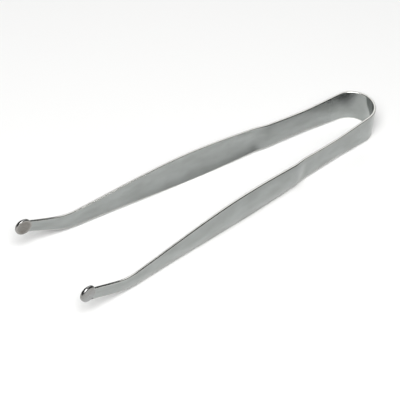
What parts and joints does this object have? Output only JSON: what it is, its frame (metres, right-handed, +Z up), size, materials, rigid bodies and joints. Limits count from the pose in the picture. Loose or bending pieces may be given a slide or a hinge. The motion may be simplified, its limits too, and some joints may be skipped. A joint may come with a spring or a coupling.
{
  "type": "spring tongs",
  "caption": "Spring tongs bent from a steel strip on its edge: a rounded bow, springy arms with dished finger grips and raised necks, and a shallow round cup at each tip.",
  "frame": {"origin": "middle of the underside of the tongs' bounding box, on the surface that the lower edges rest on", "axes": "+X from the bow to the tips, +Y to the left arm, +Z up across the strip's width"},
  "size_m": [0.1275, 0.0364, 0.0122],
  "materials": {
    "bow_steel": "stainless strip, rolled bright, smooth inside the bow",
    "arm_steel": "stainless strip, fine satin along its length",
    "cup_steel": "stainless, pressed and polished"
  },
  "bodies": {
    "crown": {"bow_crown": "bow_steel"},
    "left_shoulder": {"left_bow_shoulder": "bow_steel"},
    "left_band": {"left_spring_band": "arm_steel"},
    "left_arm": {"left_finger_grip": "arm_steel", "left_neck": "arm_steel", "left_jaw_cup": "cup_steel"},
    "right_shoulder": {"right_bow_shoulder": "bow_steel"},
    "right_band": {"right_spring_band": "arm_steel"},
    "right_arm": {"right_finger_grip": "arm_steel", "right_neck": "arm_steel", "right_jaw_cup": "cup_steel"}
  },
  "joints": [
    {"name": "left_shoulder_flex", "type": "hinge", "parent": "crown", "child": "left_shoulder", "pos_m": [-0.06067, 0.00434, 0.0055], "axis": [0, 0, -1], "range_deg": [0, 2.68], "stiffness_Nm_per_rad": 8.37},
    {"name": "left_band_flex", "type": "hinge", "parent": "left_shoulder", "child": "left_band", "pos_m": [-0.04953, 0.00703, 0.0055], "axis": [0, 0, -1], "range_deg": [0, 3.35], "stiffness_Nm_per_rad": 5.42},
    {"name": "left_arm_flex", "type": "hinge", "parent": "left_band", "child": "left_arm", "pos_m": [-0.03561, 0.00825, 0.0055], "axis": [0, 0, -1], "range_deg": [0, 2.59], "stiffness_Nm_per_rad": 4.94},
    {"name": "right_shoulder_flex", "type": "hinge", "parent": "crown", "child": "right_shoulder", "pos_m": [-0.06067, -0.00434, 0.0055], "axis": [0, 0, 1], "range_deg": [0, 2.68], "stiffness_Nm_per_rad": 8.37},
    {"name": "right_band_flex", "type": "hinge", "parent": "right_shoulder", "child": "right_band", "pos_m": [-0.04953, -0.00703, 0.0055], "axis": [0, 0, 1], "range_deg": [0, 3.35], "stiffness_Nm_per_rad": 5.42},
    {"name": "right_arm_flex", "type": "hinge", "parent": "right_band", "child": "right_arm", "pos_m": [-0.03561, -0.00825, 0.0055], "axis": [0, 0, 1], "range_deg": [0, 2.59], "stiffness_Nm_per_rad": 4.94}
  ]
}
